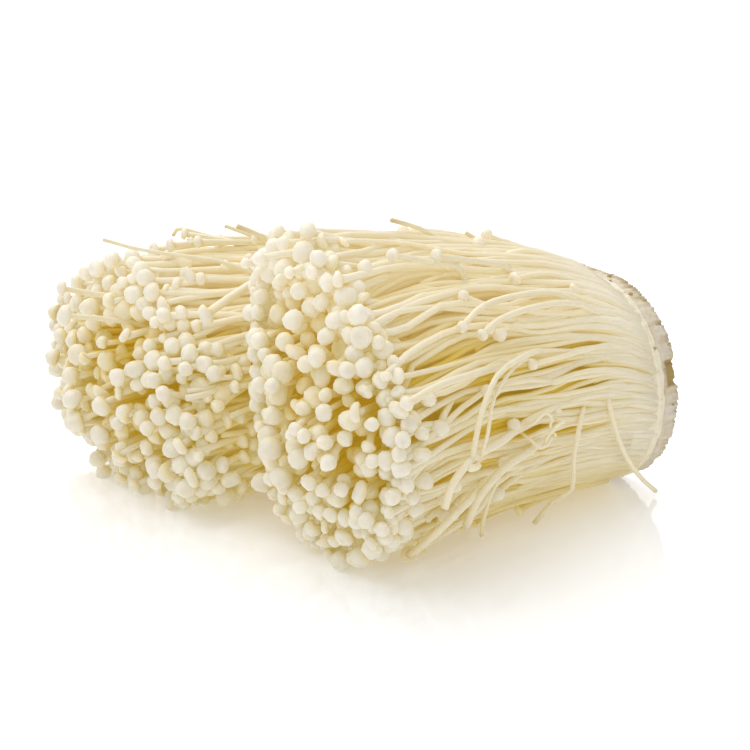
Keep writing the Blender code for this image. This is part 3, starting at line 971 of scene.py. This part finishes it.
REAR_LOOSE = (
    (((-96, 40, 70), (-118, 50, 74), (-133, 57, 77), (-143, 61, 80.5)), 0.6, 0, 0.2),
    (((-66, 38, 70), (-80, 42, 74.5), (-94, 45, 77), (-106, 47, 82.5)), 0.75, 0, 0.5),
    (((-76, 50, 72), (-92, 54, 75), (-104, 58, 80)), 0.6, 0, 0.2),
    (((-90, 60, 72), (-104, 66, 75), (-112, 71, 77.5), (-113, 74, 75)), 0.6, 0, 0.4),
    (((-92, 56, 72), (-104, 62, 75), (-113, 66, 77)), 0.85, 2.0, 0),
    (((-90, 34, 66), (-106, 33, 69), (-116, 31, 67), (-126, 30, 63)), 1.25, 3.2, 0),
    (((-120, 60, 50), (-142, 62, 56), (-155, 62, 59)), 0.9, 3.4, 0),
    (((-120, 66, 56), (-142, 69, 62), (-152, 70, 65)), 0.9, 2.4, 0),
    (((-96, 46, 20), (-112, 46, 9), (-122, 48, 4)), 0.9, 2.6, 0),
    (((-72, 54, 70), (-90, 57, 73), (-106, 59, 75), (-121, 60, 76)), 1.0, 2.2, 0),
    (((-66, 50, 69), (-84, 53, 73), (-100, 55, 75), (-114, 56, 77)), 0.9, 2.0, 0),
    (((-58, 60, 68), (-74, 62, 71), (-88, 63, 73), (-102, 64, 74)), 1.0, 2.3, 0),
    (((-76, 64, 69), (-92, 66, 72), (-108, 67, 73), (-122, 68, 73)), 1.0, 2.6, 0),
    (((-54, 44, 69), (-70, 47, 73), (-85, 49, 76), (-98, 50, 77)), 0.9, 1.8, 0),
    (((-46, 48, 68), (-60, 50, 72), (-75, 51, 74), (-88, 52, 75)), 1.0, 2.2, 0),
    (((-60, 40, 69), (-80, 43, 73), (-100, 45, 75)), 0.9, 0, 0.1),
    (((-70, 58, 70), (-88, 61, 73), (-104, 63, 75), (-112, 64, 75)), 0.9, 1.9, 0),
)


def through(points, count):
    """count + 1 places, evenly spread by turn, on a smooth line through the points."""
    ends = [2 * points[0] - points[1], *points, 2 * points[-1] - points[-2]]
    places = []
    for i in range(count + 1):
        walk = i / count * (len(points) - 1)
        leg = min(int(walk), len(points) - 2)
        t = walk - leg
        a, b, c, d = ends[leg:leg + 4]
        places.append(b + 0.5 * t * (c - a + t * (2 * a - 5 * b + 4 * c - d + t * (3 * (b - c) + d - a))))
    return places


def on_the_surface(_):
    """The shade of a loose stem: no painted shade and no painted light from above."""
    return 0.0, 0.0


def rooted(line, flow):
    """The line with its first three tenths bent down into the cluster."""
    sunk = []
    for i, point in enumerate(line):
        s = (ROOT_X - point.x) / flow.length
        inward = Vector((0, flow.middle_y_at(s) - point.y, flow.half_height_at(s) - point.z)).normalized()
        sunk.append(point + inward * ROOT_SINK * clamp(1 - i / (0.3 * STEM_SEGMENTS))**2)
    return sunk


def plant_loose(name, node, flow, loose, seed):
    scene = bpy.context.scene
    stem_radius = scene.enoki_bunch.stem_radius
    stems, caps = Bed(), Bed()
    tube = stem_template()
    dome = cap_template(BUTTON_CAP)
    chance = random.Random(seed)
    for points, share, cap_millimetres, browned in loose:
        line = rooted(through(millimetres(*points), STEM_SEGMENTS), flow)
        radius = share * stem_radius
        alongs = [0.12 + 0.15 * i / STEM_SEGMENTS for i in range(STEM_SEGMENTS + 1)]
        tint = 0.5 * chance.random()
        stems.stem(tube, line, [radius] * (STEM_SEGMENTS + 1), alongs, on_the_surface, tint, browned)
        if cap_millimetres:
            cap_radius = cap_millimetres / 1000
            axis = (line[-1] - line[-2]).normalized()
            caps.cap(dome, line[-1], axis, cap_radius, cap_radius, chance.uniform(0, 6), (0.0, 0.0), tint,
                     browned)
    stems.finish(f"{name}_loose_stems", stem_material(scene.enoki_colours), node)
    caps.finish(f"{name}_loose_caps", cap_material(scene.enoki_colours), node)


# Cut base


def base_outline(share):
    """The place (y, z) on the base's oblong centre line and the direction out of it, at this share of
    the way round."""
    arc = math.pi * BASE_RADIUS
    walk = share * 2 * (arc + BASE_REACH)
    if walk < arc:
        y, angle = BASE_REACH, walk / BASE_RADIUS - math.pi / 2
    elif walk < arc + BASE_REACH:
        y, angle = BASE_REACH - (walk - arc), math.pi / 2
    elif walk < 2 * arc + BASE_REACH:
        y, angle = 0.0, (walk - arc - BASE_REACH) / BASE_RADIUS + math.pi / 2
    else:
        y, angle = walk - 2 * arc - BASE_REACH, -math.pi / 2
    return Vector((0, y, BASE_RADIUS)), Vector((0, math.cos(angle), math.sin(angle)))


def ring_noise(share, around, x, seed):
    """Noise that closes on itself round the base, in about -1 to 1."""
    angle = 2 * math.pi * share
    return noise.noise(Vector((around * math.cos(angle), around * math.sin(angle), 900 * x + 10 * seed)))


def rings_to_faces(bed, rings):
    """Bends one circle's face through the rings, each a function from share to (point, browned, painted
    shade).
    """
    bmesh.ops.create_circle(bed.bm, cap_ends=True, radius=1.0, segments=OUTLINE_POINTS)
    face = bed.bm.faces[:][0]
    turned = sorted(face.verts, key=lambda vert: math.atan2(vert.co.y, vert.co.x))
    shares = {vert: i / OUTLINE_POINTS for i, vert in enumerate(turned)}
    loops = [{loop.vert: shares[loop.vert] for loop in face.loops}]
    for _ in rings[1:]:
        order = [shares[loop.vert] for loop in face.loops]
        face = bmesh.ops.extrude_discrete_faces(bed.bm, faces=[face])["faces"][0]
        shares = {loop.vert: share for loop, share in zip(face.loops, order)}
        loops.append(dict(shares))
    for loop, ring in zip(loops, rings):
        for vert, share in loop.items():
            vert.co, vert[bed.browned], vert[bed.buried] = ring(share)
            vert[bed.tint] = 0.5


def collar_ring(x, inset, relief):
    """Ring of the collar, where stems have grown together into shallow ridges."""
    bunch = bpy.context.scene.enoki_bunch

    def ring(share):
        place, out = base_outline(share)
        ridges = ring_noise(share, 22, 0.1 * x, 1) + 0.5 * ring_noise(share, 40, 0.15 * x, 2)
        radius = BASE_RADIUS - inset + relief * ridges
        point = place + out * radius
        point.x = x + 0.0004 * ring_noise(share, 9, x, 3)
        head_height = blend(bunch.front_ring[2], bunch.rear_ring[2], place.y / BASE_REACH)
        point.z *= 1 + math.sqrt(max(0.0, (ROOT_X - x) / 0.11)) * (head_height / BASE_RADIUS - 1)
        point.z = max(point.z, 0.0)
        # Painted golden shade in the valleys between the ridges, fading out towards the rim
        return point, 0.0, clamp(-700 * relief * (ridges + 0.2) * clamp((RIM_X - x) / 0.008))
    return ring


def in_notch(share):
    """1 inside the dark notch that shows on the base's near side, 0 outside it."""
    place, out = base_outline(share)
    height = (place + out * BASE_RADIUS).z
    return 1.0 if out.y < -0.8 and NOTCH_LOW < height < NOTCH_HIGH else 0.0


def frayed(out):
    """1 where the edge is frayed, on the base's near and upper side, fading to 0."""
    return clamp(2.2 * (out.z - 0.35)) * clamp(1.0 - 1.5 * (out.y + 0.05))


def slab_ring(x, inset, ragged, browned, spread):
    """Ring of the slab. Its edge is ragged, and spread narrows it to the middle of the cut face."""
    def ring(share):
        place, out = base_outline(share)
        teeth = abs(ring_noise(share, 34, 0.1 * x, 5)) + 0.3 * abs(ring_noise(share, 70, x, 6))
        notch = in_notch(share) * clamp((x - RIM_X - 0.0010) / 0.0020) * clamp(12 * spread - 11)
        radius = BASE_RADIUS - inset - ragged * (0.0016 * teeth) - 0.0013 * notch
        middle = Vector((0, BASE_REACH / 2, BASE_RADIUS))
        point = middle + spread * (place + out * radius - middle)
        point.x = x + 0.0005 * ring_noise(share, 14 * spread, x, 7) * (1 - 0.5 * spread)
        point.z = max(point.z, 0.0)
        stain = 0.7 * frayed(out) * clamp(4 * ring_noise(share, 20, 0.3 * x, 8) - 0.4)
        stain *= clamp((x - RIM_X - 0.0015) / 0.0025) * clamp(12 * spread - 11)
        return point, clamp(browned * (0.3 + 1.2 * teeth) + 1.2 * notch + stain), 0.0
    return ring


def plant_crumbs(bed):
    """Brown crumbs and fibres of the growing medium, most of them on the frayed edge."""
    chance = random.Random(31)
    for i in range(CRUMB_COUNT):
        turn = math.radians(chance.uniform(88, 150) if i < 0.75 * CRUMB_COUNT else chance.uniform(160, 215))
        out = Vector((0, math.cos(turn), math.sin(turn)))
        x = RIM_X + chance.uniform(-0.0022, 0.0050)
        place = Vector((x, 0, BASE_RADIUS)) + out * (BASE_RADIUS - 0.0001)
        size = chance.uniform(0.00022, 0.00055)
        stretch = Matrix.Diagonal((size * chance.uniform(1, 2.2), size * chance.uniform(1, 2.2), size, 1))
        matrix = Matrix.Translation(place) @ out.to_track_quat("Z", "Y").to_matrix().to_4x4() @ stretch
        crumb = bmesh.ops.create_icosphere(bed.bm, subdivisions=1, radius=1.0, matrix=matrix)["verts"]
        for vert in crumb:
            vert[bed.browned] = chance.uniform(0.6, 1.0)
            vert[bed.tint] = 0.5


def plant_base():
    colours = bpy.context.scene.enoki_colours
    collar, slab = Bed(), Bed()
    rings_to_faces(collar, [collar_ring(*ring) for ring in COLLAR_RINGS])
    rings_to_faces(slab, [slab_ring(*ring) for ring in SLAB_RINGS])
    for bed in (collar, slab):
        open_edges = [edge for edge in bed.bm.edges if edge.is_boundary]
        bmesh.ops.holes_fill(bed.bm, edges=open_edges)
        bmesh.ops.recalc_face_normals(bed.bm, faces=bed.bm.faces)
    plant_crumbs(slab)
    collar.finish("base_collar", stem_material(colours), "cut_base")
    slab.finish("base_slab", slab_material(colours), "cut_base")


def slab_material(colours):
    """Dry pressed fibres, straw coloured, with a tan edge."""
    material, tree, shader = new_material("Enoki cut slab", 0.75)
    place = add_node(tree, "ShaderNodeTexCoord", (-1300, 0))
    pores = noise_value(tree, (-1000, 0), place.outputs["Object"], 700.0, Detail=4.0)
    patches = noise_value(tree, (-1000, -300), place.outputs["Object"], 160.0)
    browned = carried(tree, (-1000, 300), "browned")
    speckled = mix_colours(tree, (-700, 0), pores, rgba(colours.slab_edge), rgba(colours.slab))
    patchy = mix_colours(tree, (-500, 0), patches, speckled, rgba(colours.foot))
    edged = mix_colours(tree, (-300, 200), browned, patchy, rgba(colours.slab_edge))
    tree.links.new(edged, shader.inputs["Base Color"])
    bump = add_node(tree, "ShaderNodeBump", (-300, -200))
    bump.inputs["Strength"].default_value = 0.6
    bump.inputs["Distance"].default_value = 0.0006
    tree.links.new(pores, bump.inputs["Height"])
    tree.links.new(bump.outputs["Normal"], shader.inputs["Normal"])
    return material


# Operators and stage


class ENOKI_OT_front_cluster(bpy.types.Operator):
    """Grow the front cluster: its stems, its caps and what fills its depth"""

    bl_idname = "enoki.front_cluster"
    bl_label = "Front cluster"

    def execute(self, context):
        bunch = context.scene.enoki_bunch
        flow = Flow(0.0, bunch.front_ring, bunch.front_half_width, bunch.front_crown, -1,
                    FRONT_SAG, FRONT_FIELDS)
        plant_cluster("front", "front_cluster", flow, seed=11)
        plant_loose("front", "front_cluster", flow, FRONT_LOOSE, seed=12)
        return {"FINISHED"}


class ENOKI_OT_rear_cluster(bpy.types.Operator):
    """Grow the rear cluster: its stems, its caps and what fills its depth"""

    bl_idname = "enoki.rear_cluster"
    bl_label = "Rear cluster"

    def execute(self, context):
        bunch = context.scene.enoki_bunch
        flow = Flow(BASE_REACH, bunch.rear_ring, bunch.rear_half_width, bunch.rear_crown, 1,
                    REAR_SAG, REAR_FIELDS)
        plant_cluster("rear", "rear_cluster", flow, seed=23)
        plant_loose("rear", "rear_cluster", flow, REAR_LOOSE, seed=24)
        return {"FINISHED"}


class ENOKI_OT_cut_base(bpy.types.Operator):
    """Build the foot that all stems grew from: its collar, its rim and the cut slab behind it"""

    bl_idname = "enoki.cut_base"
    bl_label = "Cut base"

    def execute(self, context):
        plant_base()
        return {"FINISHED"}


class ENOKI_OT_stage(bpy.types.Operator):
    """Lay the pale floor, set the studio lights and stand the camera at the photograph's angle"""

    bl_idname = "enoki.stage"
    bl_label = "Stage"

    def execute(self, context):
        lay_floor(context.scene.enoki_colours)
        light_studio()
        stand_camera()
        return {"FINISHED"}


def lay_floor(colours):
    bm = bmesh.new()
    bmesh.ops.create_grid(bm, x_segments=8, y_segments=8, size=6.0)
    floor = stand("floor", mesh_of(bm, "floor"))
    material, _, shader = new_material("Studio floor", 0.09)
    shader.inputs["Base Color"].default_value = rgba(colours.floor)
    shader.inputs["Emission Color"].default_value = rgba(colours.floor)
    shader.inputs["Emission Strength"].default_value = FLOOR_GLOW
    shader.inputs["Specular IOR Level"].default_value = 0.5
    floor.data.materials.append(material)


def add_sun(name, comes_from, strength, spread):
    """A soft light that falls evenly on everything, like a wide panel far away."""
    data = bpy.data.lights.new(name, "SUN")
    data.energy = strength
    data.angle = spread
    light = stand(name, data)
    light.rotation_euler = Vector(comes_from).to_track_quat("Z", "Y").to_euler()


def light_studio():
    scene = bpy.context.scene
    world = bpy.data.worlds.new("studio")
    world.use_nodes = True
    background = world.node_tree.nodes["Background"]
    background.inputs["Color"].default_value = (1, 1, 1, 1)
    background.inputs["Strength"].default_value = WORLD_STRENGTH
    scene.world = world
    scene.view_settings.view_transform = "Standard"
    scene.view_settings.look = "None"
    for name, comes_from, strength, spread in SUNS:
        add_sun(name, comes_from, strength, math.radians(spread))


def stand_camera():
    flat = math.cos(CAMERA_ELEVATION)
    back = Vector((math.sin(CAMERA_AZIMUTH) * flat, -math.cos(CAMERA_AZIMUTH) * flat,
                   math.sin(CAMERA_ELEVATION)))
    data = bpy.data.cameras.new("camera")
    data.sensor_width = SENSOR_WIDTH
    data.lens = SENSOR_WIDTH * CAMERA_DISTANCE * PIXELS_PER_METRE / PHOTO_WIDTH
    data.clip_start = 0.01
    camera = stand("camera", data)
    camera.location = ZERO + CAMERA_TARGET + back * CAMERA_DISTANCE
    camera.rotation_euler = back.to_track_quat("Z", "Y").to_euler()
    bpy.context.scene.camera = camera


class ENOKI_PT_panel(bpy.types.Panel):
    """Lists the bunch's operators, sizes and colours"""

    bl_idname = "ENOKI_PT_panel"
    bl_label = "Enoki bunch"
    bl_space_type = "VIEW_3D"
    bl_region_type = "UI"
    bl_category = "Enoki"

    def draw(self, context):
        column = self.layout.column()
        for operator in OPERATORS:
            column.operator(operator.bl_idname)
        for group in (context.scene.enoki_bunch, context.scene.enoki_colours):
            for key in group.bl_rna.properties.keys():
                if key not in {"rna_type", "name"}:
                    column.prop(group, key)


OPERATORS = (ENOKI_OT_stage, ENOKI_OT_cut_base, ENOKI_OT_front_cluster, ENOKI_OT_rear_cluster)
CLASSES = (ENOKI_PG_bunch, ENOKI_PG_colours, *OPERATORS, ENOKI_PT_panel)


def register():
    for cls in CLASSES:
        bpy.utils.register_class(cls)
    bpy.types.Scene.enoki_bunch = PointerProperty(type=ENOKI_PG_bunch)
    bpy.types.Scene.enoki_colours = PointerProperty(type=ENOKI_PG_colours)


def unregister():
    del bpy.types.Scene.enoki_colours
    del bpy.types.Scene.enoki_bunch
    for cls in reversed(CLASSES):
        bpy.utils.unregister_class(cls)


def main():
    register()
    bpy.ops.enoki.stage()
    bpy.ops.enoki.cut_base()
    bpy.ops.enoki.front_cluster()
    bpy.ops.enoki.rear_cluster()


if __name__ == "__main__":
    main()
